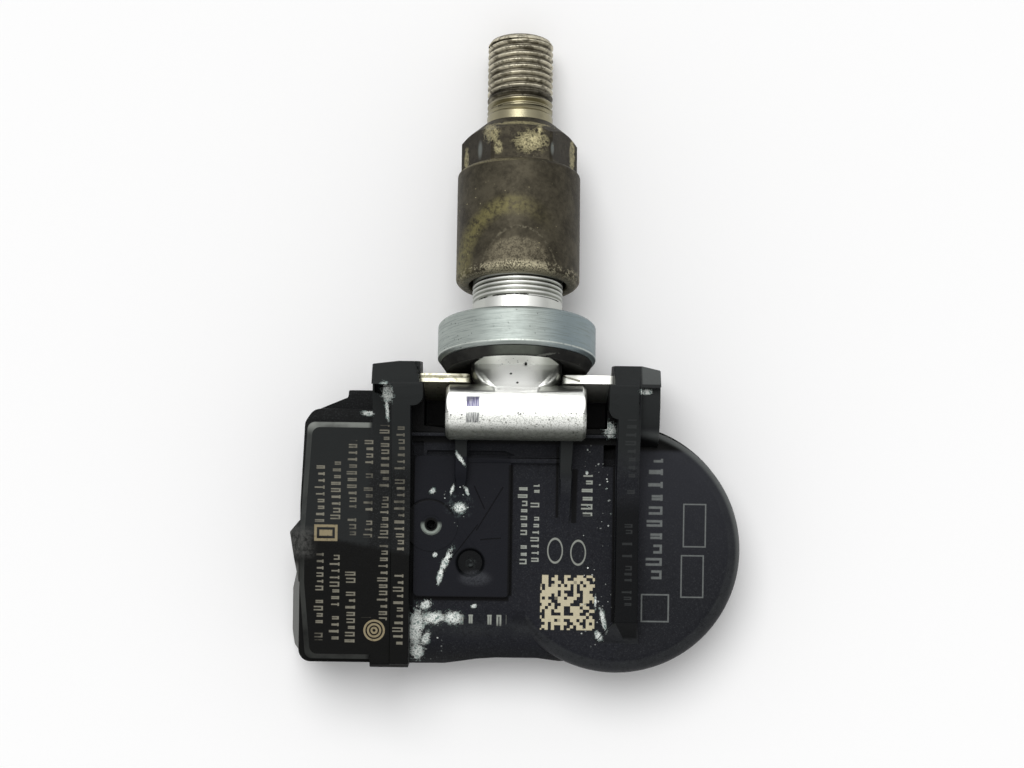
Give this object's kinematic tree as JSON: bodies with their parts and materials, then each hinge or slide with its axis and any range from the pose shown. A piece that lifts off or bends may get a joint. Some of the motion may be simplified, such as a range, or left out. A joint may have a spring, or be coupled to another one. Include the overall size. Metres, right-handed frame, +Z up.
{
  "type": "tyre pressure sensor",
  "caption": "Wheel-mounted tyre pressure sensor: a sealed plastic sensor box whose metal clamp-in valve stem swivels between two ears, with its seal, nut and valve core.",
  "frame": {"origin": "on the flat base face, straight below the stem's swivel axis, midway between the ears", "axes": "+X to the right toward the round battery end, +Y toward the valve tip, +Z up from the base face"},
  "size_m": [0.0531, 0.0753, 0.022],
  "materials": {
    "box_plastic": "fine moulded grain, scuffed",
    "cover_plastic": "fine moulded grain",
    "clip_steel": "bright stamped stainless",
    "stem_alloy": "satin turned, pitted",
    "ring_zinc": "zinc plated, turned lines",
    "seal_black": "matte moulded rubber",
    "nut_alloy": "dark anodised, worn at the edges",
    "core_brass": "turned brass",
    "gasket_white": "smooth",
    "spring_steel": "drawn wire",
    "board_green": "solder mask",
    "cell_steel": "pressed can",
    "tab_nickel": "rolled strip",
    "chip_black": "moulded package",
    "gasket_grey": "soft silicone",
    "ferrite": "sintered",
    "copper_wire": "enamelled wire",
    "antenna_bronze": "stamped strip",
    "crystal_can": "metal lid",
    "ceramic": "fired ceramic"
  },
  "bodies": {
    "sensor_box": {"housing": "box_plastic", "base_cover": "cover_plastic", "retaining_clip": "clip_steel", "circuit_board": "board_green", "battery_cell": "cell_steel", "battery_tab_top": "tab_nickel", "battery_tab_bottom": "tab_nickel", "sensor_chip": "chip_black", "port_gasket": "gasket_grey", "coil_core": "ferrite", "coil_winding": "copper_wire", "rf_antenna": "antenna_bronze", "crystal": "crystal_can", "chip_components": "ceramic"},
    "stem": {"valve_stem": "stem_alloy", "seal_ring": "ring_zinc", "seal_rubber": "seal_black", "core_barrel": "core_brass", "core_gasket": "gasket_white", "core_spring": "spring_steel"},
    "nut": {"valve_nut": "nut_alloy"},
    "pin": {"core_pin": "core_brass", "core_cup": "seal_black"}
  },
  "joints": [
    {"name": "stem_swivel", "type": "hinge", "parent": "sensor_box", "child": "stem", "pos_m": [0, 0, 0.0146], "axis": [1, 0, 0], "range_deg": [-1.5, 44]},
    {"name": "nut_turn", "type": "hinge", "parent": "stem", "child": "nut", "pos_m": [0, 0, 0.0146], "axis": [0, 0.97, -0.243], "continuous": true},
    {"name": "core_pin_press", "type": "slide", "parent": "stem", "child": "pin", "axis": [0, -0.97, 0.243], "range_m": [0, 0.0015], "stiffness_N_per_m": 800, "springref_m": -0.001, "deforming": ["core_spring"]}
  ]
}
